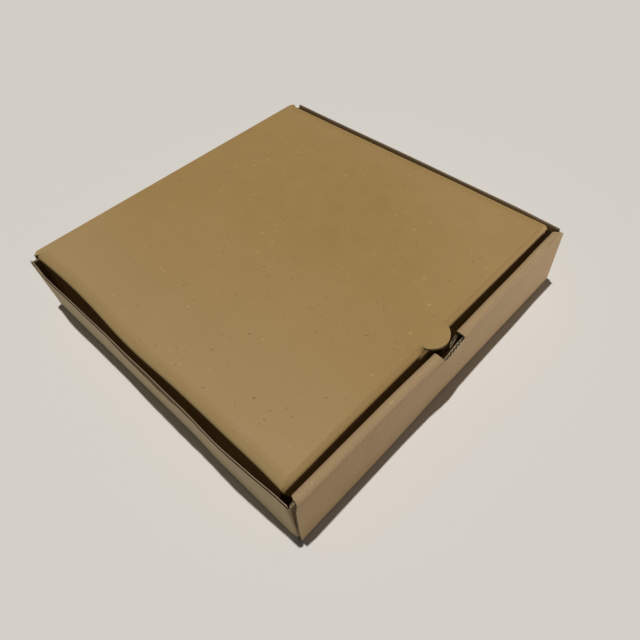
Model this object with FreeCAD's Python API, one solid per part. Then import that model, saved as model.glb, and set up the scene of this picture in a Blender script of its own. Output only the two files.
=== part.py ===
import FreeCAD, Part
import os
from math import acos, cos, pi, radians, sin, tan
from FreeCAD import Placement, Rotation, Vector

# Folding pizza box for a ten inch pizza, die-cut from one sheet of fine-fluted corrugated board.
# Millimetres. The origin is on the floor under the middle of the closed box, with the front wall
# towards -Y and the lid's crease towards +Y. The tray and the lid are one sheet in the real box,
# parted here at the lid's crease so that the lid can turn on it.

# The board
board = 1.6             # thickness
fold = 1.3              # outside radius of a folded crease, where the board is crushed
layer_slack = 0.4       # room between layers folded over each other
crease_slack = 0.3      # open line between the back wall's top and the lid
corner_relief = 0.5     # cut between a crease and the board beside its end

# The box as it stands
base_width = 257.0      # outside, at the floor
base_depth = 260.3      # outside, at the floor
box_height = 46.9       # floor to the top of the lid
side_lean = 2.8         # degrees, side walls lean outwards
back_lean = 2.0         # degrees, back wall leans outwards
end_inset = 0.2         # ends of the front and back walls, inside the base width

# The roll-over front wall
front_drop = 0.4        # its top lies this far under the lid's underside
roll_slack = 0.8        # room in it on each side of a corner tab
strip_end_taper = 3.5   # the inner panel is this much shorter at each end
notch_width = 21.5
notch_depth = 3.0       # under its top, in the outer panel
notch_corner_radius = 2.0
inner_notch_depth = 10.5    # under its top, in the inner panel
lock_tab_width = 34.0
lock_tab_spacing = 124.0
lock_tab_taper = 3.0    # each end of a lock tab, to its lower edge

# Corner tabs on the ends of the side walls
front_tab_length = 44.0
rear_tab_length = 38.0
tab_top_drop = 2.6      # tab's top edge under the top of its wall
tab_slope = 3.0         # further fall of the top edge along the tab
tab_bottom_rise = 2.4   # tab's lower edge above the crease at the floor
tab_corner_radius = 5.0

# The lid
lid_side_gap = 4.0      # side fold to the side wall's inner face, at the top
lid_front_gap = 4.0     # front fold to the roll-over's inner face
lid_corner_radius = 4.0
flap_depth = 36.0       # lid's top to the flaps' lower edges
flap_taper = 9.0        # each end of a flap, from its crease to its lower edge
flap_corner_radius = 7.0
flap_front_gap = 0.6    # front crease of the lid to the side flaps
flap_hinge_gap = 6.0    # hinge line to the side flaps
front_flap_inset = 0.6  # each end of the front flap, inside the side folds
thumb_width = 22.0      # half-moon tab on the front edge
thumb_reach = 7.0       # past the front fold


def wall_reach(height, lean):
    """Distance from a floor crease to the outer face of its leaning wall, at a height."""
    return fold / cos(radians(lean)) + (height - fold) * tan(radians(lean))


def wall_length(height, lean):
    """Flat length of a leaning wall from its floor crease to a height."""
    return (height - fold + fold * sin(radians(lean))) / cos(radians(lean))


# Sizes that follow
floor_half = base_width / 2 - fold              # middle of the floor to a side crease
lid_underside = box_height - board
front_top = lid_underside - front_drop
roll_width = 3 * board + 2 * roll_slack         # outer panel, corner tab and inner panel
floor_depth = base_depth - 2 * fold             # front crease to back crease
overall_depth = fold + floor_depth + wall_reach(lid_underside, back_lean)
front_face = -overall_depth / 2
front_crease = front_face + fold
back_crease = front_crease + floor_depth
roll_face = front_face + roll_width             # inner face of the front wall
wall_half = base_width / 2 - end_inset          # half length of the front and back walls
side_height = wall_length(lid_underside, side_lean)
lid_half = floor_half + wall_reach(lid_underside, side_lean) - board - lid_side_gap
hinge_y = overall_depth / 2 - board / 2
lid_crease = hinge_y - roll_face - lid_front_gap - fold     # hinge line to the front crease


def turned(frame, x, y, angle=0):
    """Frame moved to x, y in its own panel's plane, and turned there by an angle."""
    return frame * Placement(Vector(x, y, 0), Rotation(Vector(0, 0, 1), angle))


def outline(corners):
    """Closed wire through corners (x, y) or (x, y, radius), where the radius rounds a corner."""
    places = [Vector(corner[0], corner[1], 0) for corner in corners]
    stretches = []
    arcs = []
    for i, corner in enumerate(corners):
        if len(corner) == 2:
            stretches.append((places[i], places[i]))
            continue
        radius = corner[2]
        back = (places[i - 1] - places[i]).normalize()
        ahead = (places[(i + 1) % len(places)] - places[i]).normalize()
        half = acos(back.dot(ahead)) / 2
        start = places[i] + back * (radius / tan(half))
        end = places[i] + ahead * (radius / tan(half))
        middle = places[i] + (back + ahead).normalize() * (radius / sin(half) - radius)
        arcs.append(Part.Arc(start, middle, end).toShape())
        stretches.append((start, end))
    lines = [Part.makeLine(stretches[i - 1][1], stretches[i][0]) for i in range(len(stretches))]
    return Part.Wire(Part.sortEdges(lines + arcs)[0])


def half_moon(width, straight, tip):
    """Wire from y = 0: its sides run straight for a stretch, then round to the tip in one arc."""
    half = width / 2
    return Part.Wire([
        Part.makeLine(Vector(-half, 0, 0), Vector(half, 0, 0)),
        Part.makeLine(Vector(half, 0, 0), Vector(half, straight, 0)),
        Part.Arc(Vector(half, straight, 0), Vector(0, tip, 0), Vector(-half, straight, 0)).toShape(),
        Part.makeLine(Vector(-half, straight, 0), Vector(-half, 0, 0))])


def panel(frame, wire):
    """Flat board of a given outline. The frame's z = 0 is its outer face, z points inwards."""
    flat = Part.Face(wire).extrude(Vector(0, 0, board))
    flat.Placement = frame
    return flat


def crease(frame, start, end, angle):
    """Board folded inwards about the frame's x, from start to end, and the frame beyond it.

    The crushed board turns about the crease's own centre, so the inner faces meet in a corner.
    """
    section = Part.Face(Part.makePolygon([
        Vector(start, 0, 0), Vector(end, 0, 0), Vector(end, 0, fold), Vector(start, 0, fold),
        Vector(start, 0, 0)]))
    axis = Vector(0, 0, fold)
    bend = section.revolve(axis, Vector(1, 0, 0), angle)
    bend.Placement = frame
    turn = Placement(axis, Rotation(Vector(1, 0, 0), angle)) * Placement(-axis, Rotation())
    return bend, frame * turn


def mirrored(pieces):
    """The same pieces on the other side of the box."""
    return [piece.mirror(Vector(0, 0, 0), Vector(1, 0, 0)) for piece in pieces]


def joined(pieces):
    """One sheet from its panels and creases, with no seams left in its flat faces."""
    return pieces[0].fuse(pieces[1:]).removeSplitter()


def corner_tab(frame, top, bottom, length):
    """Tab folded in from a side wall's end. The frame's x runs along that end."""
    slope = tab_slope if bottom > top else -tab_slope
    bend, tab = crease(frame, min(top, bottom), max(top, bottom), 90)
    flat = panel(tab, outline([
        (bottom, 0), (bottom, length, tab_corner_radius),
        (top + slope, length, tab_corner_radius), (top, 0)]))
    return [bend, flat]


def left_wall():
    """Side wall with its two corner tabs; the rear one leans as the back wall does."""
    front_end = front_crease + board + roll_slack
    length = back_crease - board - layer_slack - front_end
    rear_length = side_height / cos(radians(back_lean))
    rear_shift = side_height * tan(radians(back_lean))
    bend, wall = crease(turned(Placement(), -floor_half, front_end, 90), 0, length, 90 - side_lean)
    flat = panel(wall, outline([
        (0, 0), (length, 0), (length + rear_shift, side_height), (0, side_height)]))
    front_tab = corner_tab(
        turned(wall, 0, 0, 90), side_height - tab_top_drop, tab_bottom_rise, front_tab_length)
    rear_tab = corner_tab(
        turned(wall, length + rear_shift, side_height, -90 - back_lean),
        tab_top_drop, rear_length - tab_bottom_rise, rear_tab_length)
    return [bend, flat] + front_tab + rear_tab


def front_wall():
    """Outer panel, top strip and inner panel rolled over the corner tabs, with two lock tabs."""
    inner_half = wall_half - strip_end_taper
    outer_height = front_top - 2 * fold
    inner_height = front_top - fold - board - layer_slack
    outer_bend, outer = crease(turned(Placement(), 0, front_crease, 180), -wall_half, wall_half, 90)
    outer_flat = panel(outer, outline([
        (-wall_half, 0), (wall_half, 0), (wall_half, outer_height), (-wall_half, outer_height)]))
    top_bend, strip = crease(turned(outer, 0, outer_height), -wall_half, wall_half, 90)
    strip_width = roll_width - 2 * fold
    strip_flat = panel(strip, outline([
        (-wall_half, 0), (wall_half, 0), (wall_half, strip_width), (-wall_half, strip_width)]))
    inner_bend, inner = crease(turned(strip, 0, strip_width), -inner_half, inner_half, 90)
    inner_flat = panel(inner, outline([
        (-inner_half, 0), (inner_half, 0), (inner_half, inner_height), (-inner_half, inner_height)]))
    pieces = [outer_bend, outer_flat, top_bend, strip_flat, inner_bend, inner_flat]
    half = lock_tab_width / 2
    for side in (-1, 1):
        pieces.append(panel(turned(inner, side * lock_tab_spacing / 2, inner_height), outline([
            (-half, 0), (half, 0), (half - lock_tab_taper, board + layer_slack),
            (lock_tab_taper - half, board + layer_slack)])))
    return pieces


def strip_end_cut():
    """Wedge over the left end of the roll-over's top, which runs in to the inner panel's end."""
    wedge = Part.Face(outline([
        (-wall_half, front_face), (strip_end_taper - wall_half, roll_face),
        (-wall_half - fold, roll_face), (-wall_half - fold, front_face)]))
    wedge.translate(Vector(0, 0, front_top - fold))
    return wedge.extrude(Vector(0, 0, 2 * fold))


def thumb_notch():
    """Cuts of the notch: a slot over the strip, and a half-round bite in the inner panel."""
    half = notch_width / 2
    slot = outline([
        (-half, -fold), (half, -fold), (half, notch_depth, notch_corner_radius),
        (-half, notch_depth, notch_corner_radius)])
    bite = half_moon(notch_width, notch_depth, inner_notch_depth)
    cuts = []
    for wire, start in ((slot, front_face - fold), (bite, roll_face - board - roll_slack / 2)):
        cut = Part.Face(wire).extrude(Vector(0, 0, roll_face + fold - start))
        cut.Placement = Placement(Vector(0, start, front_top), Rotation(Vector(1, 0, 0), -90))
        cuts.append(cut)
    return cuts


def lock_slot_cut(side):
    """Slot in the floor under the inner panel, for a lock tab."""
    width = lock_tab_width + layer_slack
    return Part.makeBox(
        width, board + layer_slack, board,
        Vector(side * lock_tab_spacing / 2 - width / 2, roll_face - board - layer_slack / 2, 0))


def tray():
    floor = panel(Placement(), outline([
        (-floor_half, front_crease), (floor_half, front_crease),
        (floor_half, back_crease), (-floor_half, back_crease)]))
    floor = floor.cut([lock_slot_cut(-1), lock_slot_cut(1)])
    back_height = wall_length(lid_underside - crease_slack, back_lean)
    back_bend, back = crease(
        turned(Placement(), 0, back_crease), -wall_half, wall_half, 90 - back_lean)
    back_flat = panel(back, outline([
        (-wall_half, 0), (wall_half, 0), (lid_half, back_height), (-lid_half, back_height)]))
    side = left_wall()
    end_cut = [strip_end_cut()]
    front = joined(front_wall()).cut(thumb_notch() + end_cut + mirrored(end_cut))
    return joined([floor, back_bend, back_flat, front] + side + mirrored(side))


def side_flap(lid):
    """Flap of the lid tucked down inside the right wall."""
    length = lid_crease - flap_front_gap - flap_hinge_gap
    depth = flap_depth - fold
    edge = turned(lid, lid_half - fold, lid_crease - flap_front_gap, -90)
    bend, flap = crease(edge, 0, length, 90)
    flat = panel(flap, outline([
        (0, 0), (length, 0), (length - flap_taper, depth, flap_corner_radius),
        (flap_taper, depth, flap_corner_radius)]))
    return [bend, flat]


def front_flap(lid):
    """Flap tucked down behind the front wall, with the bite that the thumb tab leaves in it."""
    half = lid_half - front_flap_inset
    depth = flap_depth - fold
    edge = turned(lid, 0, lid_crease)
    left_bend, flap = crease(edge, -half, -thumb_width / 2, 90)
    right_bend = crease(edge, thumb_width / 2, half, 90)[0]
    flat = panel(flap, outline([
        (-half, 0), (half, 0), (half - flap_taper, depth, flap_corner_radius),
        (flap_taper - half, depth, flap_corner_radius)]))
    beyond_crease = fold - (fold - board / 2) * pi / 2
    bite = panel(flap, half_moon(thumb_width, beyond_crease, beyond_crease + thumb_reach))
    return [left_bend, right_bend, flat.cut(bite)]


def lid():
    """Lid with three flaps; its back edge is round about the hinge line."""
    top = Placement(Vector(0, hinge_y, box_height), Rotation(Vector(1, 0, 0), 180))
    flat_half = lid_half - fold
    ear = flap_hinge_gap - corner_relief
    flat = panel(top, outline([
        (-lid_half, 0, lid_corner_radius), (lid_half, 0, lid_corner_radius), (lid_half, ear),
        (flat_half, ear), (flat_half, lid_crease), (-flat_half, lid_crease),
        (-flat_half, ear), (-lid_half, ear)]))
    edge_half = lid_half - lid_corner_radius
    round_edge = Part.makeCylinder(
        board / 2, 2 * edge_half, Vector(-edge_half, hinge_y, box_height - board / 2),
        Vector(1, 0, 0))
    thumb = panel(turned(top, 0, lid_crease), half_moon(thumb_width, fold, fold + thumb_reach))
    side = side_flap(top)
    return joined([flat, round_edge, thumb] + front_flap(top) + side + mirrored(side))


os.makedirs("parts", exist_ok=True)
for name, shape in (("tray", tray()), ("lid", lid())):
    shape.exportStep("parts/" + name + ".step")
    box = shape.BoundBox
    print(name, len(shape.Solids), shape.isValid(), round(shape.Volume / 1000, 2), "cm3",
          [round(v, 2) for v in (box.XMin, box.XMax, box.YMin, box.YMax, box.ZMin, box.ZMax)])
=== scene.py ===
from math import atan2, ceil, cos, pi, radians, sin, tan

import bpy
import numpy as np
from mathutils import Matrix, Vector
from mathutils.geometry import delaunay_2d_cdt


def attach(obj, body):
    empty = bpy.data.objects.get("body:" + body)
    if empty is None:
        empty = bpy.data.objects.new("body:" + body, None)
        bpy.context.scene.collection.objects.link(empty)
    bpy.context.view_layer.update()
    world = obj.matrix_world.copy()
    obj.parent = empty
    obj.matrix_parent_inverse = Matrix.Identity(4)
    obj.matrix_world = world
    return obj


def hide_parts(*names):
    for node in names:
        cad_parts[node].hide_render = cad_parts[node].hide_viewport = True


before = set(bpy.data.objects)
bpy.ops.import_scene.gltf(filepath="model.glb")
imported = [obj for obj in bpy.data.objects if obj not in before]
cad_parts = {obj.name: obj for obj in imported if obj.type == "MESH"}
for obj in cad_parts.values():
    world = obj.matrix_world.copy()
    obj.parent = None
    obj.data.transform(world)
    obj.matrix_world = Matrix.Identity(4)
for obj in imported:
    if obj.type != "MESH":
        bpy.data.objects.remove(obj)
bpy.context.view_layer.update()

MM = 0.001

# The board, in millimetres as the rest of the box
BOARD = 1.6
LINER = 0.3             # thickness of each of the two liners
FOLD = 1.3              # outside radius of a crease
LID_FOLD = 3.0          # the lid's creases are softer
CRUSH = 0.7             # share of its thickness that the board keeps in a crease
FLUTE_PITCH = 3.1
FLUTE_PAPER = 0.26
FLUTE_STEPS = 10        # mesh steps in a flute
MOUTH_DEPTH = 9.0       # how far the flutes are made inwards from a cut
LAYER_SLACK = 0.4
ROLL_SLACK = 0.8
CRUSH_REACH = 1.2       # beside a crease, until the board has its full thickness again
SPACING = 6.0           # of the mesh over a panel
SLIVER = 0.3            # least distance of the mesh's inner points from an outline
FOLD_STEPS = 6          # of the mesh round a crease
CORNER_STEPS = 6
MOON_STEPS = 10         # on each side of the half-moon
TINY = 1e-6

# The tray
BASE_WIDTH = 257.0
BASE_DEPTH = 260.3
BOX_HEIGHT = 46.9
SIDE_LEAN = radians(2.8)
BACK_LEAN = radians(2.0)
END_INSET = 0.2
FRONT_DROP = 0.4
STRIP_END_TAPER = 3.5
CREASE_LINE = 0.05      # left open between the back wall's top and the lid
NOTCH_WIDTH = 21.5
NOTCH_DEPTH = 3.0
NOTCH_TILT = 0.4        # the cut runs this much deeper at its left end, and less at its right
NOTCH_MIDDLE = 2.0
NOTCH_CORNER = 2.4
INNER_NOTCH_DEPTH = 10.5
LOCK_TAB_WIDTH = 34.0
LOCK_TAB_SPACING = 124.0
LOCK_TAB_TAPER = 3.0
FRONT_TAB_LENGTH = 44.0
REAR_TAB_LENGTH = 38.0
TAB_TOP_DROP = 2.6
TAB_SLOPE = 3.0
TAB_BOTTOM_RISE = 2.4
TAB_CORNER_RADIUS = 5.0

# The lid
LID_SIDE_GAP = 3.7
LID_FRONT_GAP = 3.7
LID_CORNER_RADIUS = 3.0
EAR_RADIUS = 1.2        # of the small corners behind the side flaps
FLAP_DEPTH = 36.0
FLAP_TAPER = 9.0
FLAP_CORNER_RADIUS = 7.0
FLAP_OVERLAP = 1.5      # the side flaps run this far past the front crease
FLAP_HINGE_GAP = 4.4
FRONT_FLAP_INSET = 0.2
CORNER_RELIEF = 0.1
THUMB_WIDTH = 22.0
THUMB_REACH = 7.0
LID_IN_BLANK = 400.0    # where the lid's colouring starts in the flat blank, clear of the tray's

# Sizes that follow
ARC = FOLD * pi / 2                     # flat length of a right-angled crease
FLOOR_HALF = BASE_WIDTH / 2 - FOLD
LID_UNDERSIDE = BOX_HEIGHT - BOARD
FRONT_TOP = LID_UNDERSIDE - FRONT_DROP
ROLL_WIDTH = 3 * BOARD + 2 * ROLL_SLACK
FLOOR_DEPTH = BASE_DEPTH - 2 * FOLD


def wall_reach(height, lean):
    """Distance from a floor crease to the outer face of its leaning wall, at a height."""
    return FOLD / cos(lean) + (height - FOLD) * tan(lean)


def wall_length(height, lean):
    """Flat length of a leaning wall from its floor crease to a height."""
    return (height - FOLD + FOLD * sin(lean)) / cos(lean)


OVERALL_DEPTH = FOLD + FLOOR_DEPTH + wall_reach(LID_UNDERSIDE, BACK_LEAN)
FRONT_FACE = -OVERALL_DEPTH / 2
FRONT_CREASE = FRONT_FACE + FOLD
BACK_CREASE = FRONT_CREASE + FLOOR_DEPTH
ROLL_FACE = FRONT_FACE + ROLL_WIDTH
WALL_HALF = BASE_WIDTH / 2 - END_INSET
SIDE_HEIGHT = wall_length(LID_UNDERSIDE, SIDE_LEAN)
LID_HALF = FLOOR_HALF + wall_reach(LID_UNDERSIDE, SIDE_LEAN) - BOARD - LID_SIDE_GAP
LID_FLAT_HALF = LID_HALF - LID_FOLD
HINGE_Y = OVERALL_DEPTH / 2 - BOARD / 2
LID_CREASE = HINGE_Y - ROLL_FACE - LID_FRONT_GAP - LID_FOLD
LID_ARC = LID_FOLD * pi / 2


# Lines and places

def smooth(share):
    """Soft step from 0 to 1."""
    share = min(max(share, 0), 1)
    return share * share * (3 - 2 * share)


def hump(place, middle, half):
    """1 at the middle, softly down to 0 at half a width to each side."""
    return smooth(1 - abs(place - middle) / half)


def stops(*marks, spacing=SPACING):
    """The marks, with even steps between them."""
    found = [marks[0]]
    for start, end in zip(marks, marks[1:]):
        count = max(1, ceil(abs(end - start) / spacing - 0.001))
        found += [start + (end - start) * k / count for k in range(1, count + 1)]
    return found


def line_towards(first, last, steps, kept):
    """Evenly spaced points from one place towards another, of which the first few are kept."""
    return [(first[0] + (last[0] - first[0]) * k / steps, first[1] + (last[1] - first[1]) * k / steps)
            for k in range(kept)]


def rounded(corners):
    """Corners (x, y) or (x, y, radius) as a line of points, round where a radius is given."""
    line = []
    for i, corner in enumerate(corners):
        place = Vector(corner[:2])
        if len(corner) == 2:
            line.append(place)
            continue
        back = (Vector(corners[i - 1][:2]) - place).normalized()
        ahead = (Vector(corners[(i + 1) % len(corners)][:2]) - place).normalized()
        half = back.angle(ahead) / 2
        reach = corner[2] / tan(half)
        centre = place + (back + ahead).normalized() * (corner[2] / sin(half))
        first, last = place + back * reach - centre, place + ahead * reach - centre
        turn = atan2(first.x * last.y - first.y * last.x, first.dot(last))
        for k in range(CORNER_STEPS + 1):
            line.append(centre + Matrix.Rotation(turn * k / CORNER_STEPS, 2) @ first)
    return line


def arc_radius(half, rise):
    """Radius of an arc that rises this much over half its width."""
    return (half * half + rise * rise) / (2 * rise)


def arc_height(x, half, rise):
    """Height of that arc at x, from its middle."""
    radius = arc_radius(half, rise)
    return rise - radius + (radius ** 2 - x ** 2) ** 0.5


def half_moon(width, straight, tip):
    """Points from (-width / 2, 0) round the tip at y = tip to (width / 2, 0)."""
    half = width / 2
    rise = tip - straight
    radius = arc_radius(half, rise)
    step = atan2(half, radius - rise) / MOON_STEPS
    arc = [Vector((radius * sin(step * k), tip - radius + radius * cos(step * k)))
           for k in range(-MOON_STEPS, MOON_STEPS + 1)]
    return [Vector((-half, 0))] + arc + [Vector((half, 0))]


class Place:
    """Where a panel lies in the folded box and in the flat blank. Its z points into the board."""

    def __init__(self, box, blank):
        self.box = box
        self.blank = blank

    def turned(self, x, y, angle=0):
        """The place that lies at (x, y) in this one, turned in its plane."""
        turn = Matrix.Translation((x, y, 0)) @ Matrix.Rotation(angle, 4, "Z")
        return Place(self.box @ turn, self.blank @ turn)

    def folded(self, angle, radius=FOLD):
        """The place past a crease of this angle."""
        axis = Matrix.Translation((0, 0, radius))
        turn = axis @ Matrix.Rotation(angle, 4, "X") @ axis.inverted()
        return Place(self.box @ turn, self.blank @ Matrix.Translation((0, radius * angle, 0)))


class Run:
    """Panels and creases one after another along y. A length is flat and an angle is a fold."""

    def __init__(self, place, *parts, side=1, radius=FOLD):
        self.side = side
        self.radius = radius
        self.parts = []
        levels = []
        end = 0
        for kind, size in parts:
            start = end
            end += size if kind == "flat" else radius * size
            self.parts.append((kind, start, end, size, place))
            if kind == "flat":
                beside = [start + CRUSH_REACH, end - CRUSH_REACH] if end - start > 3 else []
                levels += stops(start, *beside, end)
                place = place.turned(0, size)
            else:
                levels += stops(start, end, spacing=(end - start) / FOLD_STEPS)
                place = place.folded(size, radius)
        self.end = place
        self.levels = sorted({round(level, 6) for level in levels})

    def nearness(self, y):
        """1 inside a crease, softly down to 0 where the board has its full thickness."""
        shares = [1 - max(start - y, y - end, 0) / CRUSH_REACH
                  for kind, start, end, _, _ in self.parts if kind == "fold"]
        return max(shares + [0])

    def point(self, x, y):
        """Place on the outer face, way into the board, place in the blank, and nearness of a fold.

        Before the run's start and past its end the first and last panels simply go on.
        """
        for kind, start, end, size, place in self.parts:
            if y <= end + TINY:
                break
        if kind == "fold":
            place = place.folded(size * (y - start) / (end - start), self.radius)
            spot = Vector((x, 0, 0))
        else:
            spot = Vector((x, y - start, 0))
        face, blank = place.box @ spot, place.blank @ spot
        inward = place.box.to_3x3() @ Vector((0, 0, 1))
        if self.side < 0:
            face.x, inward.x, blank.x = -face.x, -inward.x, -blank.x
        return face, inward, blank, self.nearness(y)


# Nodes

class Nodes:
    """A tree of nodes, and short ways to add to it."""

    def __init__(self, tree):
        self.tree = tree

    def node(self, kind, settings=None, sockets=None):
        """A new node. A kind that isn't spelled out is one of the shader nodes."""
        node = self.tree.nodes.new(kind if "Node" in kind else "ShaderNode" + kind)
        for name, value in (settings or {}).items():
            setattr(node, name, value)
        for name, value in (sockets or {}).items():
            if isinstance(value, Value):
                self.tree.links.new(value.socket, node.inputs[name])
            else:
                node.inputs[name].default_value = value
        return node

    def value(self, kind, output, settings=None, sockets=None):
        """One output of a new node."""
        return Value(self, self.node(kind, settings, sockets).outputs[output])


class Value:
    """An output of a node that can stand in sums."""

    def __init__(self, nodes, socket):
        self.nodes = nodes
        self.socket = socket

    def maths(self, operation, *terms):
        return self.nodes.value("Math", 0, {"operation": operation}, dict(enumerate(terms)))

    def __add__(self, other):
        return self.maths("ADD", self, other)

    def __sub__(self, other):
        return self.maths("SUBTRACT", self, other)

    def __mul__(self, other):
        return self.maths("MULTIPLY", self, other)

    def __truediv__(self, other):
        return self.maths("DIVIDE", self, other)

    def __rsub__(self, other):
        return self.maths("SUBTRACT", other, self)

    __radd__ = __add__

    def sine(self):
        return self.maths("SINE", self)

    def nearest(self):
        """The nearest whole number."""
        return self.maths("ROUND", self)

    def clamped(self):
        """Kept between 0 and 1."""
        return self.maths("MAXIMUM", self.maths("MINIMUM", self, 1.0), 0.0)

    def above(self, level, soft):
        """0 below a level, 1 above it, over a soft step."""
        return ((self - level) * (1 / soft)).clamped()


# Sheets of board

def inside(points, loops):
    """Which points lie in the outline, by counting the edges to their right."""
    hits = np.zeros(len(points), int)
    for loop in loops:
        ends = np.array(loop)
        starts = np.roll(ends, 1, axis=0)
        for (x0, y0), (x1, y1) in zip(starts, ends):
            crossing = (y0 > points[:, 1]) != (y1 > points[:, 1])
            if y0 != y1:
                hits += crossing & (points[:, 0] < x0 + (points[:, 1] - y0) * (x1 - x0) / (y1 - y0))
    return hits % 2 == 1


def clearance(points, loops):
    """Distance from each point to the nearest edge of the outline."""
    least = np.full(len(points), np.inf)
    for loop in loops:
        ends = np.array(loop)
        for start, end in zip(np.roll(ends, 1, axis=0), ends):
            way = end - start
            share = np.clip((points - start) @ way / max(way @ way, 1e-12), 0, 1)
            least = np.minimum(least, np.linalg.norm(points - start - share[:, None] * way, axis=1))
    return least


def split_loop(loop, columns, levels):
    """The outline with a point wherever a column or level of the mesh crosses it."""
    line = []
    for start, end in zip(loop, loop[1:] + loop[:1]):
        shares = {0.0}
        for axis, marks in ((0, columns), (1, levels)):
            span = end[axis] - start[axis]
            if abs(span) > TINY:
                shares |= {(mark - start[axis]) / span for mark in marks}
        kept = []
        for share in sorted(s for s in shares if 0 <= s < 1 - TINY):
            if not kept or (share - kept[-1]) * (Vector(end) - Vector(start)).length > 1e-4:
                kept.append(share)
        line += [tuple(Vector(start).lerp(Vector(end), share)) for share in kept]
    return line


def net(loops, columns, levels):
    """Triangles over an outline, along its columns and levels; the first loop is the outer one."""
    loops = [split_loop([tuple(point) for point in loop], columns, levels) for loop in loops]
    lattice = np.array([(x, y) for y in levels for x in columns])
    lattice = lattice[inside(lattice, loops)]
    lattice = lattice[clearance(lattice, loops) > SLIVER]
    points, edges = [], []
    for loop in loops:
        first = len(points)
        points += loop
        edges += [(first + k, first + (k + 1) % len(loop)) for k in range(len(loop))]
    points += [tuple(point) for point in lattice]
    places = np.array(points)
    for level in levels:
        row = np.flatnonzero(abs(places[:, 1] - level) < 1e-5)
        row = row[np.argsort(places[row, 0])]
        middles = (places[row[1:]] + places[row[:-1]]) / 2
        if len(row) > 1:
            edges += [(int(a), int(b)) for a, b, within in zip(row, row[1:], inside(middles, loops))
                      if within]
    corners, _, faces, *_ = delaunay_2d_cdt(
        [Vector(point) for point in points], edges, [], 0, 1e-5, False)
    corners = np.array([tuple(corner) for corner in corners])
    faces = np.array([face for face in faces if len(face) == 3])
    a, b, c = (corners[faces[:, k]] for k in range(3))
    area = (b[:, 0] - a[:, 0]) * (c[:, 1] - a[:, 1]) - (b[:, 1] - a[:, 1]) * (c[:, 0] - a[:, 0])
    faces[area < 0] = faces[area < 0][:, ::-1]
    return corners, faces[inside((a + b + c) / 3, loops) & (abs(area) > 1e-9)]


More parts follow.
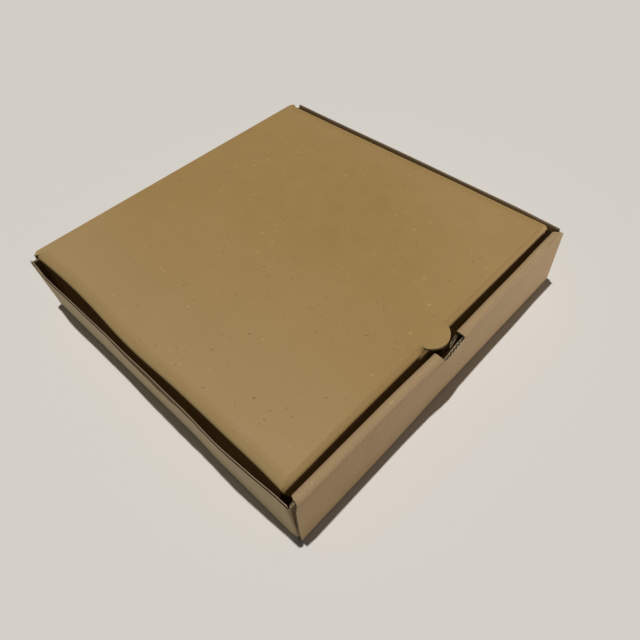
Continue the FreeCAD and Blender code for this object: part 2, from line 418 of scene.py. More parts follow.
class Sheet:
    """One sheet of board: its outer face first, then both liners, and the flutes at its edges."""

    def __init__(self, settle):
        self.settle = settle
        self.spots, self.faces, self.known = [], [], {}
        self.verts, self.polys, self.kinds, self.blanks, self.folds = [], [], [], [], []

    def spot(self, point):
        """Number of a point of the outer face, the same for all the panels that meet there."""
        face, inward, blank, fold = point
        key = tuple(round(v, 3) for v in (*face, *inward))
        if key not in self.known:
            self.known[key] = len(self.spots)
            self.spots.append([face, inward, blank, fold])
        place = self.known[key]
        self.spots[place][3] = max(self.spots[place][3], fold)
        return place

    def add(self, run, loops, columns, levels=None):
        """Part of the outer face: an outline on a run, and the holes in it."""
        corners, faces = net(loops, columns, levels or run.levels)
        spots = [self.spot(run.point(*corner)) for corner in corners]
        order = (0, 1, 2) if run.side > 0 else (2, 1, 0)
        for face in faces:
            triangle = tuple(spots[face[k]] for k in order)
            if len(set(triangle)) == 3:
                self.faces.append(triangle)

    def lay(self, point, depth):
        """A point of the board at a depth, in the box as it has settled."""
        face, inward, blank, fold = point
        depth *= 1 - (1 - CRUSH) * fold
        self.verts.append(self.settle(face + inward * depth, inward, depth))
        self.blanks.append(blank)
        self.folds.append(fold)
        return len(self.verts) - 1

    def poly(self, corners, kind):
        self.polys.append(corners)
        self.kinds.append(kind)

    def liners(self):
        """Both liners as closed sheets of paper, over all the panels and creases."""
        borders = set()
        for a, b, c in self.faces:
            for edge in ((a, b), (b, c), (c, a)):
                if edge[::-1] in borders:
                    borders.remove(edge[::-1])
                else:
                    borders.add(edge)
        for top, bottom in ((0, LINER), (BOARD - LINER, BOARD)):
            upper = [self.lay(spot, top) for spot in self.spots]
            lower = [self.lay(spot, bottom) for spot in self.spots]
            for a, b, c in self.faces:
                self.poly((upper[c], upper[b], upper[a]), "liner")
                self.poly((lower[a], lower[b], lower[c]), "liner")
            for a, b in borders:
                self.poly((upper[a], upper[b], lower[b], lower[a]), "cut")

    def bar(self, run, path, into, recess=0.35, width=1.2, kind="flute"):
        """Medium seen from its flank along a cut, a little ragged, between the liners."""
        top, bottom = LINER + 0.02, BOARD - LINER   # clear of the outer liner by a hair
        rings = []
        for k, (x, y) in enumerate(path):
            start = recess * (1 + 0.6 * sin(2.3 * k + x + y))
            ring = [(start, top), (start, bottom), (start + width, bottom), (start + width, top)]
            rings.append([self.lay(run.point(x + into[0] * s, y + into[1] * s), d) for s, d in ring])
        self.tube(rings, kind, run.side * self.turn(path, into))

    @staticmethod
    def turn(path, into):
        """Which way round a ring goes, from the path's and the cut's directions."""
        way = (path[-1][0] - path[0][0], path[-1][1] - path[0][1])
        return 1 if way[0] * into[1] - way[1] * into[0] > 0 else -1

    def tube(self, rings, kind, turn):
        """Closed skin over rings of points, one after another."""
        count = len(rings[0])
        for near, far in zip(rings, rings[1:]):
            for k in range(count):
                face = (near[k], near[(k + 1) % count], far[(k + 1) % count], far[k])
                self.poly(face[::turn], kind)
        self.poly(tuple(rings[0][::-turn]), kind)
        self.poly(tuple(rings[-1][::turn]), kind)

    def mouths(self, run, start, end, edge, into):
        """Open flutes along a cut: from x = start to end, where the edge is at y = edge(x)."""
        mesh = flute_mesh(end - start)
        first = len(self.verts)
        for vert in mesh.vertices:
            x = start + vert.co.x / MM
            y = edge(x) + into * vert.co.y / MM
            self.lay(run.point(x, y), BOARD / 2 + vert.co.z / MM)
        flip = 1 if run.side * into > 0 else -1
        for face in mesh.polygons:
            corners = list(face.vertices)[::flip]
            cut = all(mesh.vertices[k].co.y < 0.01 * MM for k in corners)
            self.poly(tuple(first + k for k in corners), "cut" if cut else "flute")
        bpy.data.meshes.remove(mesh)

    def mesh(self, name, finishes):
        """The sheet as an object, with a finish for each kind of face."""
        mesh = bpy.data.meshes.new(name)
        mesh.from_pydata([vert * MM for vert in self.verts], [], self.polys)
        for finish in finishes.values():
            mesh.materials.append(finish)
        slots = {kind: k for k, kind in enumerate(finishes)}
        mesh.polygons.foreach_set("material_index", [slots[kind] for kind in self.kinds])
        blank = mesh.uv_layers.new(name="blank")
        loops = np.empty(len(mesh.loops), int)
        mesh.loops.foreach_get("vertex_index", loops)
        flat = np.array([(b.x, b.y) for b in self.blanks]) * MM
        blank.data.foreach_set("uv", flat[loops].ravel())
        fold = mesh.attributes.new("fold", "FLOAT", "POINT")
        fold.data.foreach_set("value", self.folds)
        mesh.polygons.foreach_set("use_smooth", [True] * len(mesh.polygons))
        mesh.set_sharp_from_angle(angle=radians(38))
        mesh.update()
        piece = bpy.data.objects.new(name, mesh)
        bpy.context.scene.collection.objects.link(piece)
        return piece


def flute_tree():
    """Geometry nodes for a strip of fluted medium: a wave along x, straight along y."""
    tree = bpy.data.node_groups.new("fluted medium", "GeometryNodeTree")
    sizes = ("Length", "Depth", "Pitch", "Height", "Paper")
    face = tree.interface
    face.new_socket("Geometry", in_out="INPUT", socket_type="NodeSocketGeometry")
    for name in sizes:
        face.new_socket(name, in_out="INPUT", socket_type="NodeSocketFloat")
    face.new_socket("Material", in_out="INPUT", socket_type="NodeSocketMaterial")
    face.new_socket("Geometry", in_out="OUTPUT", socket_type="NodeSocketGeometry")

    nodes = Nodes(tree)
    given = nodes.node("NodeGroupInput")
    length, depth, pitch, height, paper, material = (
        Value(nodes, given.outputs[name]) for name in (*sizes, "Material"))
    flat = nodes.value("GeometryNodeMeshGrid", "Mesh", None, {
        "Size X": length, "Size Y": depth, "Vertices Y": 3,
        "Vertices X": (length / pitch * FLUTE_STEPS).nearest() + 1})
    place = nodes.value("GeometryNodeInputPosition", "Position")
    parts = nodes.node("SeparateXYZ", None, {0: place})
    x, y = Value(nodes, parts.outputs["X"]), Value(nodes, parts.outputs["Y"])
    wave = (x / pitch * (2 * pi)).sine() * (height * 0.5)
    bent = nodes.value("CombineXYZ", "Vector", None, {
        "X": x + length * 0.5, "Y": y + depth * 0.5, "Z": wave - paper * 0.5})
    under = nodes.value("GeometryNodeSetPosition", "Geometry", None, {
        "Geometry": flat, "Position": bent})
    over = nodes.value("GeometryNodeExtrudeMesh", "Mesh", None, {
        "Mesh": under, "Offset Scale": paper, "Individual": False})
    flipped = nodes.value("GeometryNodeFlipFaces", "Mesh", None, {"Mesh": under})
    join = nodes.node("GeometryNodeJoinGeometry")
    for layer in (flipped, over):
        tree.links.new(layer.socket, join.inputs[0])
    closed = nodes.value("GeometryNodeMergeByDistance", "Geometry", None, {
        "Geometry": Value(nodes, join.outputs[0]), "Distance": TINY})
    real = nodes.value("GeometryNodeRealizeInstances", "Geometry", None, {"Geometry": closed})
    made = nodes.value("GeometryNodeSetMaterial", "Geometry", None, {
        "Geometry": real, "Material": material})
    nodes.node("NodeGroupOutput", None, {0: made})
    return tree


FLUTES = flute_tree()


def flute_mesh(length):
    """A strip of medium of a length, from the geometry nodes."""
    holder = bpy.data.objects.new("flutes", bpy.data.meshes.new("flutes"))
    bpy.context.scene.collection.objects.link(holder)
    modifier = holder.modifiers.new("flutes", "NODES")
    modifier.node_group = FLUTES
    sizes = {"Length": length, "Depth": MOUTH_DEPTH, "Pitch": FLUTE_PITCH,
             "Height": BOARD - 2 * LINER - FLUTE_PAPER, "Paper": FLUTE_PAPER}
    for item in FLUTES.interface.items_tree:
        if item.in_out == "INPUT" and item.name in sizes:
            modifier[item.identifier] = sizes[item.name] * MM
    evaluated = holder.evaluated_get(bpy.context.evaluated_depsgraph_get())
    mesh = bpy.data.meshes.new_from_object(evaluated)
    holder.modifiers.clear()
    bpy.data.objects.remove(holder)
    return mesh


# How the box has settled: every bow and bend was measured along the edges in the photograph

STAND_OFF = 0.8         # of the outer liner at the left wall's top
RACK = 3.2              # the back edge runs this much further back at its left end
OPENED = 0.9            # the board is this much thicker at the notch, where its layers part
SIDE_FROM = 122.0       # further out than this the tray is side wall
FRONT_FROM = -116.0     # and further forward than this it is front wall
OUTER_FROM = -126.5     # and further forward than this its outer panel


def racked(x, y, z):
    """How far a place moves back, as the box stands a little out of square at its top."""
    return RACK * (0.5 - x / BASE_WIDTH) * smooth(y / 130) * smooth(z / FRONT_TOP)


def beside(x):
    """0 over the floor, up to 1 at a side wall."""
    return smooth((abs(x) - SIDE_FROM) / 4)


def right_end(x):
    """0 along the middle of a wall, up to 1 at its right end."""
    return smooth((x - 100) / 25)


def left_bow(y):
    """How far the left wall's top stands out, along its length."""
    most = smooth((125 - y) / 20) * smooth((y + 122) / 22)
    return 1.1 * (most + 0.45 * hump(y, 95, 48) + 0.85 * hump(y, -75, 38)) + 0.1 * sin(y / 7)


def right_bow(y):
    """How far the right wall's top stands out, along its length."""
    return 1.7 * smooth((y + 140) / 58) - 0.2 * smooth(y / 60) + 0.1 * sin(y / 23 + 1)


def settle_tray(place, inward, depth):
    """The tray's walls as they have bowed, and its worn places."""
    x, y, z = place
    height = smooth(z / FRONT_TOP)
    foot = smooth(1 - z / 12)
    at_front = smooth((FRONT_FROM - y) / 6)
    at_side = beside(x) * (1 - at_front)
    pulled = 0.7 * right_end(-x) + 1.8 * right_end(x)
    back = racked(x, y, z) - pulled * height * smooth(y / 130)

    # The front wall bulges, most at the notch, where its layers have parted
    front_bow = (0.9 * hump(x, NOTCH_MIDDLE, 60) + 0.3 * hump(x, 60, 50)
                 - 0.4 * smooth((x - 80) / 30))
    out = at_front * (height * front_bow + 0.8 * foot * smooth(-x / 60))
    if inward.y > 0.7 and y < FRONT_FACE + BOARD + 0.3:
        out += 1.3 * hump(x, NOTCH_MIDDLE - 5, 17) * smooth((z - 33) / 10)
        out -= OPENED * depth / BOARD * hump(x, NOTCH_MIDDLE, 15) * smooth((z - 36) / 5)

    # Its top edge has sunk, the ends are drawn in, and the left one is pressed
    outer = smooth((OUTER_FROM - y) / 4.5)
    edge = at_front * outer * smooth((z - 38) / 6)
    pressed = hump(x, -WALL_HALF, 8) * smooth((OUTER_FROM - y) / 3) * smooth((z - 39) / 5)
    ends = hump(x, -WALL_HALF, 16) + hump(x, WALL_HALF, 20)
    x += 0.9 * ends * at_front * height * (1 - inward.x ** 2) + 1.2 * pressed
    y += 0.4 * pressed - out
    sunk = 0.8 - 0.6 * hump(x, NOTCH_MIDDLE, 26) - 1.2 * right_end(x)
    z -= 0.5 * pressed + edge * sunk

    # The side walls bow outwards, and the layers along their tops are pressed and loose
    if x < 0:
        x -= at_side * height * left_bow(y)
        x -= beside(x) * foot * smooth((-35 - y) / 30) * smooth((y + 129) / 3)
    else:
        x += beside(x) * height * right_bow(y)
    y -= 0.8 * smooth(abs(inward.x) / 0.6) * smooth((-118 - y) / 8) * smooth((45 - z) / 4)
    if abs(inward.x) > 0.9:
        x -= inward.x * pinch(z, depth)
    if inward.x > 0.9 and depth < LINER + 0.01:
        loose = smooth((z - (LID_UNDERSIDE - 8)) / 8)
        x -= loose * (STAND_OFF * hump(y, -13, 66) + 0.12 * hump(y, -45, 75) * (1 + sin(y * 0.47)))
    return Vector((x, y + back, z))


def pinch(z, depth):
    """How far the cut has pressed a side wall's layers outwards along its top."""
    at_rim = smooth((z - (LID_UNDERSIDE - 3.5)) / 3)
    if depth < 0.01:
        return 0
    if depth < LINER + 0.01:
        return 0.2 * at_rim
    return at_rim * (0.35 if depth > BOARD - 0.01 else 0.5)


def dropped(past):
    """How far a flap's end hangs down, where it runs past the crease of its neighbour."""
    past = min(max(past, 0), LID_FOLD * 0.95)
    return LID_FOLD - (LID_FOLD ** 2 - past ** 2) ** 0.5


def settle_lid(place, inward, _):
    """The lid's panel, crowned a little, its edges not quite straight and its corners blunt."""
    x, y, z = place
    past_front = HINGE_Y - LID_CREASE - y
    past_side = abs(x) - LID_FLAT_HALF
    if past_front > -0.01 and past_side > -0.01 and abs(inward.y) < 0.01:
        z -= dropped(past_front)
    if past_front > -0.01 and abs(inward.x) < 0.01:
        z -= dropped(past_side)
    across = 1 - min(abs(x) / LID_HALF, 1) ** 2
    along = min(max((HINGE_Y - y) / (HINGE_Y - FRONT_FACE), 0), 1)
    back = racked(x, y, z)
    z += 0.4 * across * smooth(along * 2) * smooth((1 - along) * 5) * smooth((z - 40) / 4)
    if x < 0:
        x += smooth(-x / 125) * (1.75 * hump(y, 85, 62) - 1.1 * hump(y, 10, 48)
                                 - 0.6 * smooth((-100 - y) / 20))
    else:
        x += smooth(x / 125) * (1.35 + 1.2 * along + 0.35 * hump(y, -45, 60))
    y += along * (0.45 - 0.65 * smooth((-70 - x) / 50))
    return Vector((x, y + back, z))


def build_tray():
    """The tray, panel by panel, as the blank folds."""
    sheet = Sheet(settle_tray)
    base = Place(Matrix.Identity(4), Matrix.Identity(4))
    notch_left = NOTCH_MIDDLE - NOTCH_WIDTH / 2
    notch_right = NOTCH_MIDDLE + NOTCH_WIDTH / 2
    columns = (stops(-WALL_HALF, -FLOOR_HALF, -SIDE_FROM, notch_left)[:-1]
               + stops(notch_left, notch_right, spacing=0.8)
               + stops(notch_right, SIDE_FROM, FLOOR_HALF, WALL_HALF)[1:])
    front_end = FRONT_CREASE + BOARD + ROLL_SLACK
    back_end = BACK_CREASE - BOARD - LAYER_SLACK
    rows = stops(FRONT_CREASE, front_end, -108, 0, 108, back_end, BACK_CREASE, spacing=4)

    slot_half = (LOCK_TAB_WIDTH + LAYER_SLACK) / 2
    slot_front = ROLL_FACE - BOARD - LAYER_SLACK / 2
    floor_loops = [[(-FLOOR_HALF, FRONT_CREASE), (FLOOR_HALF, FRONT_CREASE),
                    (FLOOR_HALF, BACK_CREASE), (-FLOOR_HALF, BACK_CREASE)]]
    for side in (-1, 1):
        middle = side * LOCK_TAB_SPACING / 2
        floor_loops.append([
            (middle - slot_half, slot_front), (middle + slot_half, slot_front),
            (middle + slot_half, slot_front + BOARD + LAYER_SLACK),
            (middle - slot_half, slot_front + BOARD + LAYER_SLACK)])
    sheet.add(Run(base, ("flat", BACK_CREASE)), floor_loops, columns, rows)

    add_front_wall(sheet, base, columns)
    add_back_wall(sheet, base, columns)
    for side in (1, -1):
        add_side_wall(sheet, base, rows, front_end, back_end, side)
    sheet.liners()
    return sheet


def add_front_wall(sheet, base, columns):
    """Outer panel, strip and inner panel rolled over, with the thumb notch and the lock tabs."""
    outer_height = FRONT_TOP - 2 * FOLD
    strip_width = ROLL_WIDTH - 2 * FOLD
    inner_height = FRONT_TOP - FOLD - BOARD - LAYER_SLACK
    tab_drop = BOARD + LAYER_SLACK
    run = Run(base.turned(0, FRONT_CREASE, pi), ("fold", pi / 2), ("flat", outer_height),
              ("fold", pi / 2), ("flat", strip_width), ("fold", pi / 2),
              ("flat", inner_height + tab_drop))
    top = ARC + outer_height
    inner = top + 2 * ARC + strip_width
    lower = inner + inner_height
    inner_half = WALL_HALF - STRIP_END_TAPER
    narrowed = inner - ARC / 2
    tab_half = LOCK_TAB_WIDTH / 2
    near, far = LOCK_TAB_SPACING / 2 - tab_half, LOCK_TAB_SPACING / 2 + tab_half
    tabs = [(far, lower), (far - LOCK_TAB_TAPER, lower + tab_drop),
            (near + LOCK_TAB_TAPER, lower + tab_drop), (near, lower)]
    corners = [(WALL_HALF, 0), (WALL_HALF, top), (inner_half, narrowed), (inner_half, lower)] + tabs
    corners = [(-WALL_HALF, 0)] + corners + [(-x, y) for x, y in reversed(corners[1:])]
    middle, half = -NOTCH_MIDDLE, NOTCH_WIDTH / 2
    sill = ARC + FRONT_TOP - NOTCH_DEPTH - FOLD
    bite = half_moon(NOTCH_WIDTH, NOTCH_DEPTH - FOLD, INNER_NOTCH_DEPTH - FOLD)
    notch = rounded([
        (middle - half, inner), (middle - half, sill + NOTCH_TILT, NOTCH_CORNER),
        (middle + half, sill - NOTCH_TILT, NOTCH_CORNER), (middle + half, inner)])
    notch += [Vector((middle - point.x, inner + point.y)) for point in bite[1:-1]]
    sheet.add(run, [corners, notch], sorted(-x for x in columns))

    def sill_edge(x):
        return sill - NOTCH_TILT * (x - middle) / half

    def bite_edge(x):
        rise = INNER_NOTCH_DEPTH - NOTCH_DEPTH
        return inner + NOTCH_DEPTH - FOLD + arc_height(x - middle, half, rise)

    sheet.mouths(run, middle - half + 1.3, middle + half - 1.3, sill_edge, -1)
    sheet.mouths(run, middle - half + 0.2, middle + half - 0.2, bite_edge, 1)
    for side in (-1, 1):
        tab_middle, reach = side * LOCK_TAB_SPACING / 2, tab_half - LOCK_TAB_TAPER
        sheet.mouths(run, tab_middle - reach, tab_middle + reach, lambda x: lower + tab_drop, -1)
        cut = [(middle + side * half, y) for y in stops(sill + 2.6, inner + 1.5, spacing=1.0)]
        sheet.bar(run, cut, (side, 0), recess=0.15)
        end = [(side * WALL_HALF, y) for y in stops(0.2, top, spacing=2)]
        sheet.bar(run, end, (-side, 0), recess=1.3)
        shoulder = line_towards((side * WALL_HALF, top), (side * inner_half, narrowed), 6, 7)
        sheet.bar(run, shoulder, (-side, 0), recess=1.3)
        end = [(side * inner_half, y) for y in stops(inner, lower, spacing=3)]
        sheet.bar(run, end, (-side, 0))


def add_back_wall(sheet, base, columns):
    """Back wall, its ends narrower at the top, with the rest of the lid's crease along it."""
    height = wall_length(LID_UNDERSIDE - CREASE_LINE, BACK_LEAN)
    run = Run(base.turned(0, BACK_CREASE), ("fold", pi / 2 - BACK_LEAN), ("flat", height))
    start = FOLD * (pi / 2 - BACK_LEAN)
    corners = [(-WALL_HALF, 0), (WALL_HALF, 0), (WALL_HALF, start), (LID_HALF, start + height),
               (-LID_HALF, start + height), (-WALL_HALF, start)]
    sheet.add(run, [corners], columns)
    rim = [(x, start + height) for x in stops(-LID_HALF + 0.5, LID_HALF - 0.5)]
    sheet.bar(run, rim, (0, -1), recess=0.02, width=1.5, kind="liner")
    for side in (-1, 1):
        end = line_towards((side * WALL_HALF, start), (side * LID_HALF, start + height), 12, 12)
        sheet.bar(run, end, (-side, 0))


def add_side_wall(sheet, base, rows, front_end, back_end, side):
    """Side wall with its two corner tabs; side 1 is the left one, as the blank is laid out."""
    lean = pi / 2 - SIDE_LEAN
    length = back_end - front_end
    rear_shift = SIDE_HEIGHT * tan(BACK_LEAN)
    run = Run(base.turned(-FLOOR_HALF, front_end, pi / 2), ("fold", lean), ("flat", SIDE_HEIGHT),
              side=side)
    start = FOLD * lean
    top = start + SIDE_HEIGHT
    low, high = start + TAB_BOTTOM_RISE, top - TAB_TOP_DROP
    levels = run.levels[:FOLD_STEPS + 1] + stops(start, low, top - 8, top - 5, high, top)
    levels = sorted({round(level, 6) for level in levels})
    columns = [y - front_end for y in rows] + [length + rear_shift * k / 4 for k in (1, 2, 3, 4)]
    corners = [(0, 0), (length, 0), (length, start), (length + rear_shift, top), (0, top)]
    sheet.add(run, [corners], columns, levels)
    rim = [(x, top) for x in stops(0.3, length + rear_shift - 0.3, spacing=4)]
    sheet.bar(run, rim, (0, -1), recess=2.0)
    wall = run.end.turned(0, -SIDE_HEIGHT)

    heights = [level - start for level in levels if low - TINY <= level <= high + TINY]
    front = Run(wall.turned(0, 0, pi / 2), ("fold", pi / 2), ("flat", FRONT_TAB_LENGTH), side=side)
    add_tab(sheet, front, heights, heights[-1], heights[0], FRONT_TAB_LENGTH)
    rear = Run(wall.turned(length + rear_shift, SIDE_HEIGHT, -pi / 2 - BACK_LEAN), ("fold", pi / 2),
               ("flat", REAR_TAB_LENGTH), side=side)
    falls = sorted((SIDE_HEIGHT - height) / cos(BACK_LEAN) for height in heights)
    add_tab(sheet, rear, falls, falls[0], falls[-1], REAR_TAB_LENGTH)


def add_tab(sheet, run, columns, top, bottom, length):
    """Corner tab folded in from a side wall's end."""
    slope = TAB_SLOPE if bottom > top else -TAB_SLOPE
    far = ARC + length
    corners = [(bottom, 0), (bottom, far, TAB_CORNER_RADIUS), (top + slope, far, TAB_CORNER_RADIUS),
               (top, ARC), (top, 0)]
    if bottom > top:
        corners = corners[::-1]
    sheet.add(run, [rounded(corners)], columns)
    low, high = sorted((bottom, top + slope))
    sheet.mouths(run, low + TAB_CORNER_RADIUS, high - TAB_CORNER_RADIUS, lambda x: far, -1)
    into = 1 if bottom > top else -1
    edge = line_towards((top, ARC), (top + slope, far), 10, 9)
    sheet.bar(run, [(top, 0.2)] + edge, (into, 0))


def build_lid():
    """The lid, with its half-moon tab, its flaps and the round of the crease behind."""
    sheet = Sheet(settle_lid)
    place = Place(Matrix.Translation((0, HINGE_Y, BOX_HEIGHT)) @ Matrix.Rotation(pi, 4, "X"),
                  Matrix.Translation((0, LID_IN_BLANK, 0)))
    ear = FLAP_HINGE_GAP - CORNER_RELIEF
    flap_half = LID_HALF - FRONT_FLAP_INSET
    tip = LID_FOLD + THUMB_REACH
    columns = stops(-LID_HALF, -flap_half, -LID_FLAT_HALF, -THUMB_WIDTH / 2, THUMB_WIDTH / 2,
                    LID_FLAT_HALF, flap_half, LID_HALF)
    rows = stops(0, ear, FLAP_HINGE_GAP, LID_CREASE - CRUSH_REACH, LID_CREASE,
                 LID_CREASE + FLAP_OVERLAP, LID_CREASE + tip)
    moon = half_moon(THUMB_WIDTH, LID_FOLD, tip)
    thumb = [(point.x, LID_CREASE + point.y) for point in moon]
    corners = rounded([
        (-LID_HALF, 0, LID_CORNER_RADIUS), (LID_HALF, 0, LID_CORNER_RADIUS),
        (LID_HALF, ear, EAR_RADIUS), (LID_FLAT_HALF, ear), (LID_FLAT_HALF, LID_CREASE)]
        + thumb[::-1] + [(-LID_FLAT_HALF, LID_CREASE), (-LID_FLAT_HALF, ear),
                         (-LID_HALF, ear, EAR_RADIUS)])
    top = Run(place, ("flat", LID_CREASE))
    sheet.add(top, [corners], columns, rows)

    half = THUMB_WIDTH / 2

    def moon_edge(x):
        return LID_FOLD + arc_height(x, half, THUMB_REACH)

    sheet.mouths(top, -half + 0.05, half - 0.05, lambda x: LID_CREASE + moon_edge(x), -1)

    depth = FLAP_DEPTH - LID_FOLD
    lower = LID_ARC + depth
    front = Run(place.turned(0, LID_CREASE), ("fold", pi / 2), ("flat", depth), radius=LID_FOLD)
    corners = [(-flap_half, 0)] + [tuple(point) for point in moon] + [
        (flap_half, 0), (flap_half, LID_ARC), (flap_half - FLAP_TAPER, lower, FLAP_CORNER_RADIUS),
        (FLAP_TAPER - flap_half, lower, FLAP_CORNER_RADIUS), (-flap_half, LID_ARC)]
    sheet.add(front, [rounded(corners)], columns)
    sheet.mouths(front, -half + 0.3, half - 0.3, moon_edge, 1)
    reach = flap_half - FLAP_TAPER - FLAP_CORNER_RADIUS
    sheet.mouths(front, -reach, reach, lambda x: lower, -1)
    for side in (-1, 1):
        edge = line_towards((side * flap_half, LID_ARC),
                            (side * (flap_half - FLAP_TAPER), lower), 12, 11)
        sheet.bar(front, [(side * flap_half, 0.2)] + edge, (-side, 0))
        add_lid_side(sheet, place, rows, side)
    sheet.liners()
    add_lid_round(sheet, place)
    return sheet


def add_lid_side(sheet, place, rows, side):
    """Flap tucked down along a side wall."""
    depth = FLAP_DEPTH - LID_FOLD
    lower = LID_ARC + depth
    start = LID_CREASE + FLAP_OVERLAP
    length = start - FLAP_HINGE_GAP
    run = Run(place.turned(LID_FLAT_HALF, start, -pi / 2), ("fold", pi / 2), ("flat", depth),
              side=side, radius=LID_FOLD)
    corners = rounded([(0, 0), (length, 0), (length, LID_ARC),
                       (length - FLAP_TAPER, lower, FLAP_CORNER_RADIUS),
                       (FLAP_TAPER, lower, FLAP_CORNER_RADIUS), (0, LID_ARC)])
    sheet.add(run, [corners], sorted(start - y for y in rows))
    edge = [(x, lower) for x in stops(FLAP_TAPER + 6, length - FLAP_TAPER - 6)]
    sheet.bar(run, edge, (0, -1))
    for x, way in ((0, 1), (length, -1)):
        edge = line_towards((x, LID_ARC), (x + way * FLAP_TAPER, lower), 12, 10)
        sheet.bar(run, [(x, 0.2)] + edge, (way, 0))


def add_lid_round(sheet, place):
    """Liner that goes round the lid's back edge, about the hinge line, and isn't crushed there."""
    half = LID_HALF - LID_CORNER_RADIUS
    turn = Run(place.turned(0, 0, pi), ("fold", pi), radius=BOARD / 2)
    rings = []
    for x in stops(-half, half, spacing=12):
        outer = [turn.point(x, BOARD / 2 * pi * k / 10)[:3] + (0,) for k in range(11)]
        ring = [sheet.lay(point, 0) for point in outer]
        ring += [sheet.lay(point, LINER) for point in reversed(outer)]
        rings.append(ring)
    sheet.tube(rings, "liner", -1)


# Finishes

class Finish(Nodes):
    """A material and the nodes that make it."""

    def __init__(self, name):
        self.material = bpy.data.materials.new(name)
        self.material.use_nodes = True
        super().__init__(self.material.node_tree)
        self.tree.nodes.clear()

    def mix(self, share, first, second):
        """The first colour, changed to the second by a share."""
        return self.value("Mix", 2, {"data_type": "RGBA"}, {0: share, 6: first, 7: second})

    def done(self, colour, roughness, gloss, normal=None):
        sockets = {"Base Color": colour, "Roughness": roughness, "Specular IOR Level": gloss}
        if normal:
            sockets["Normal"] = normal
        shader = self.value("BsdfPrincipled", 0, None, sockets)
        self.node("OutputMaterial", None, {"Surface": shader})
        return self.material


def stretched(finish, blank, x, y, angle):
    """The blank's coordinates turned and scaled, for marks that are longer one way."""
    return finish.value("Mapping", "Vector", {"vector_type": "TEXTURE"}, {
        "Vector": blank, "Rotation": (0, 0, angle), "Scale": (x, y, 1)})


def toned(colour, red, green, blue):
    """The colour with each of its channels multiplied, and opaque."""
    return colour[0] * red, colour[1] * green, colour[2] * blue, 1


def fleck(finish, blank, cell, length, angle, size, rare):
    """Short fibres lying one way, one in each cell that isn't left out: 1 on a fibre, 0 between."""
    way = stretched(finish, blank, cell, cell * length, angle)
    ragged = finish.value("TexNoise", "Color", {"noise_dimensions": "2D"}, {
        "Vector": way, "Scale": 5.0, "Detail": 2})
    way = finish.value("VectorMath", "Vector", {"operation": "MULTIPLY_ADD"}, {
        0: ragged, 1: (0.22, 0.22, 0), 2: way})
    cells = finish.node("TexVoronoi", {"voronoi_dimensions": "2D"}, {"Vector": way, "Scale": 1.0})
    near = 1 - Value(finish, cells.outputs["Distance"]).above(size * 0.7, size * 0.5)
    pick = finish.value("SeparateColor", 0, None, {0: Value(finish, cells.outputs["Color"])})
    return near * pick.above(rare, 0.04)


def kraft(name, base, dark, light, pale=0.0):
    """Plain brown liner: cloudy, flecked with fibres, the flutes just showing through.

    Pale is the strength of a painted highlight that makes the lid lighter and paler towards its
    corners, most at the front left.
    """
    finish = Finish(name)
    blank = finish.value("UVMap", "UV", {"uv_map": "blank"})
    fold = finish.value("Attribute", "Fac", {"attribute_name": "fold"})

    def noise(scale, detail, vector=blank):
        return finish.value("TexNoise", "Fac", {"noise_dimensions": "2D"}, {
            "Vector": vector, "Scale": scale, "Detail": detail, "Roughness": 0.6})

    broad = noise(9, 2) - 0.5
    cloud = noise(75, 3) - 0.5
    streak = noise(1.0, 4, stretched(finish, blank, 0.0012, 0.006, 0.03)) - 0.5
    pulp = noise(1.0, 5, stretched(finish, blank, 0.0007, 0.0011, 0.8)) - 0.5
    tone = 0.5 + broad * 0.5 + cloud * 0.7 + streak * 0.5 + pulp * 0.6
    colour = finish.mix(tone.clamped(), dark, light)
    parts = finish.node("SeparateXYZ", None, {0: blank})
    across, along = Value(finish, parts.outputs["X"]), Value(finish, parts.outputs["Y"])
    # Painted highlight: towards the lid's corners, most at the front left, the colour turns lighter
    # and paler
    painted_highlight = across * across * 26 - across * 1.93 + (along - 0.49) * 0.9 + broad * 0.3
    colour = finish.mix(painted_highlight.clamped() * pale, colour, toned(base, 1.13, 1.25, 1.75))

    # Fibres, each kind with its cell, length, angle, size and how rare it is
    dark_marks = (fleck(finish, blank, 0.010, 0.6, 0.9, 0.09, 0.95) * 0.8
                  + fleck(finish, blank, 0.0034, 2.2, 0.3, 0.13, 0.93) * 0.5
                  + fleck(finish, blank, 0.0029, 0.4, 2.0, 0.15, 0.93) * 0.4)
    light_marks = (fleck(finish, blank, 0.012, 0.5, 0.2, 0.09, 0.93) * 0.9
                   + fleck(finish, blank, 0.009, 0.45, 2.4, 0.08, 0.95) * 0.7
                   + fleck(finish, blank, 0.0039, 2.4, 1.1, 0.12, 0.94) * 0.3)
    colour = finish.mix(dark_marks.clamped(), colour, toned(base, 0.55, 0.55, 0.55))
    colour = finish.mix(light_marks.clamped(), colour, toned(base, 1.4, 1.5, 1.7))
    # Painted shade: the colour is a little darker along the creases, where shade falls
    colour = finish.mix((fold * 0.6).clamped(), colour, toned(base, 0.84, 0.84, 0.84))

    flutes = (across * (2 * pi / (FLUTE_PITCH * MM))).sine()
    relief = flutes * 0.5 + pulp * 1.2 + cloud * 1.5 + fold * streak * 3
    bump = finish.value("Bump", "Normal", None, {
        "Strength": 0.35, "Distance": 0.06 * MM, "Height": relief})
    roughness = (0.78 + cloud * 0.2 - dark_marks * 0.1).clamped()
    return finish.done(colour, roughness, 0.3, bump)


def cut_paper(name, colour):
    """Raw paper, of a cut edge or of the flutes: dull and fuzzy."""
    finish = Finish(name)
    place = finish.value("TexCoord", "Object")
    fuzz = finish.value("TexNoise", "Fac", None, {"Vector": place, "Scale": 1800, "Detail": 3})
    tone = finish.mix(fuzz, toned(colour, 0.6, 0.6, 0.6), toned(colour, 1.25, 1.25, 1.25))
    return finish.done(tone, 0.9, 0.1)


def show(piece, body, node):
    """The piece moves with its body and stands in for the node."""
    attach(piece, body)
    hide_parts(node)


MEDIUM_COLOUR = (0.26, 0.19, 0.11)

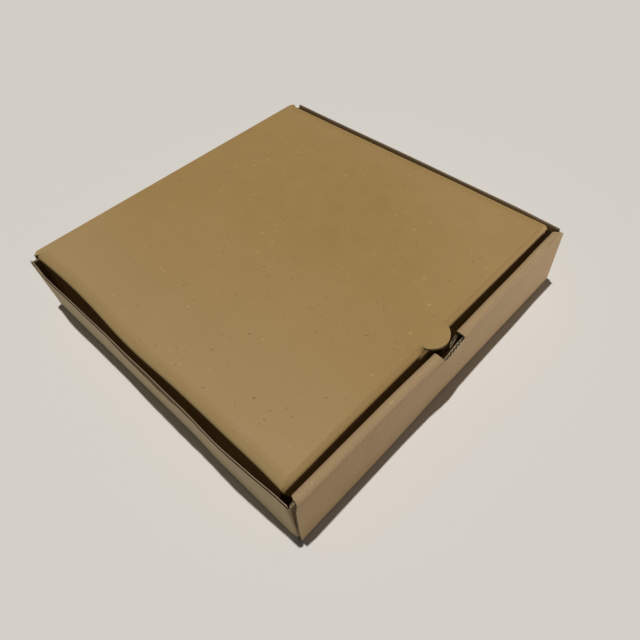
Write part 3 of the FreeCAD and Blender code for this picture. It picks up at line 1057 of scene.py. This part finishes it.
tray = build_tray().mesh("tray_sheet", {
    "liner": kraft("kraft liner, tray", base=(0.32, 0.217, 0.112),
                   dark=(0.285, 0.19, 0.094, 1), light=(0.355, 0.246, 0.132, 1)),
    # The tray's cut paper is raw paper colour, darkened a little as painted shade for its cut edges
    # in the shaded slits at the ends of the front wall
    "cut": cut_paper("cut paper, tray", (0.32, 0.25, 0.16)),
    "flute": cut_paper("fluted medium, tray", MEDIUM_COLOUR)})
# The lid's liner carries the painted highlight towards its front left corner
lid = build_lid().mesh("lid_sheet", {
    "liner": kraft("kraft liner, lid", base=(0.298, 0.186, 0.061),
                   dark=(0.265, 0.162, 0.049, 1), light=(0.331, 0.21, 0.073, 1), pale=1.2),
    "cut": cut_paper("cut paper, lid", (0.40, 0.30, 0.17)),
    "flute": cut_paper("fluted medium, lid", MEDIUM_COLOUR)})
show(tray, "tray", "tray")
show(lid, "lid", "lid")

# Camera, fitted to the corners of the box in the photograph

PHOTO_SIDE = 640
FOCAL_PIXELS = 561.74
CAMERA_AZIMUTH = radians(-42.417)
CAMERA_ELEVATION = radians(50.754)
CAMERA_ROLL = radians(-4.894)
CAMERA_TARGET = Vector((-10.15, -31.70, 0)) * MM
CAMERA_DISTANCE = 402.1 * MM
SENSOR = 36.0


def add_camera():
    """Camera at the photograph's place, its lens fitted for a square picture."""
    back = Vector((sin(CAMERA_AZIMUTH) * cos(CAMERA_ELEVATION),
                   -cos(CAMERA_AZIMUTH) * cos(CAMERA_ELEVATION), sin(CAMERA_ELEVATION)))
    level = Vector((0, 0, 1)).cross(back).normalized()
    upward = back.cross(level)
    right = level * cos(CAMERA_ROLL) + upward * sin(CAMERA_ROLL)
    up = upward * cos(CAMERA_ROLL) - level * sin(CAMERA_ROLL)
    camera = bpy.data.objects.new("camera", bpy.data.cameras.new("camera"))
    camera.data.sensor_width = SENSOR
    camera.data.lens = SENSOR * FOCAL_PIXELS / PHOTO_SIDE
    camera.data.clip_start = 0.01
    camera.matrix_world = Matrix.Translation(CAMERA_TARGET + back * CAMERA_DISTANCE) @ Matrix(
        (right, up, back)).transposed().to_4x4()
    bpy.context.scene.collection.objects.link(camera)
    bpy.context.scene.camera = camera


# Table, lamps and room

def add_floor():
    """Plain pale table top, six metres wide."""
    half = 3.0
    mesh = bpy.data.meshes.new("floor")
    mesh.from_pydata([(-half, -half, 0), (half, -half, 0), (half, half, 0), (-half, half, 0)], [],
                     [(0, 1, 2, 3)])
    floor = bpy.data.objects.new("floor", mesh)
    bpy.context.scene.collection.objects.link(floor)
    mesh.materials.append(Finish("pale table").done((0.685, 0.668, 0.645, 1), 0.85, 0.2))


def add_lamp(name, towards, strength, colour, angle):
    """Parallel light, from a direction, as soft as its angle is wide."""
    lamp = bpy.data.objects.new(name, bpy.data.lights.new(name, "SUN"))
    lamp.data.angle = radians(angle)
    lamp.data.energy = strength
    lamp.data.color = colour
    lamp.rotation_euler = Vector(towards).to_track_quat("Z", "Y").to_euler()
    bpy.context.scene.collection.objects.link(lamp)
    return lamp


def add_disk_lamp(name, place, towards, strength, colour, size):
    """A round lamp that stands near the box."""
    lamp = bpy.data.objects.new(name, bpy.data.lights.new(name, "AREA"))
    lamp.data.shape = "DISK"
    lamp.data.size = size
    lamp.data.energy = strength
    lamp.data.color = colour
    facing = Vector(towards).to_track_quat("Z", "Y").to_matrix().to_4x4()
    lamp.matrix_world = Matrix.Translation(place) @ facing
    bpy.context.scene.collection.objects.link(lamp)
    return lamp


def add_light():
    """Light from overhead, and low light from three sides that falls on the box alone."""
    add_lamp("overhead", (0.032, 0.122, 1), 2.8, (1.0, 0.975, 0.93), angle=1.6)
    near = add_disk_lamp("front right", (0.7, -0.65, 0.1), (0.6, -0.55, 0.06), 6.0,
                         (1.0, 0.97, 0.92), size=0.2)
    left = add_lamp("left", (-1.6, 0.9, 0.1), 1.4, (0.76, 0.96, 1.0), angle=20)
    back = add_lamp("back", (0.5, 1.6, 0.2), 0.45, (1.0, 0.99, 0.97), angle=20)
    box = bpy.data.collections.new("the box alone")
    for piece in (tray, lid):
        box.objects.link(piece)
    for lamp in (near, left, back):
        lamp.light_linking.receiver_collection = box


def add_room():
    """A dim room, with a pale backdrop where the camera looks past the table."""
    world = bpy.data.worlds.new("pale room")
    world.use_nodes = True
    world.node_tree.nodes.clear()
    nodes = Nodes(world.node_tree)
    room = nodes.value("Background", 0, None, {"Color": (1, 1, 1, 1), "Strength": 0.065})
    backdrop = nodes.value("Background", 0, None, {"Color": (0.67, 0.65, 0.60, 1)})
    seen = nodes.value("LightPath", "Is Camera Ray")
    mixed = nodes.value("MixShader", 0, None, {"Fac": seen, 1: room, 2: backdrop})
    nodes.node("OutputWorld", None, {"Surface": mixed})
    bpy.context.scene.world = world


add_camera()
add_floor()
add_light()
add_room()
bpy.context.scene.view_settings.view_transform = "Standard"
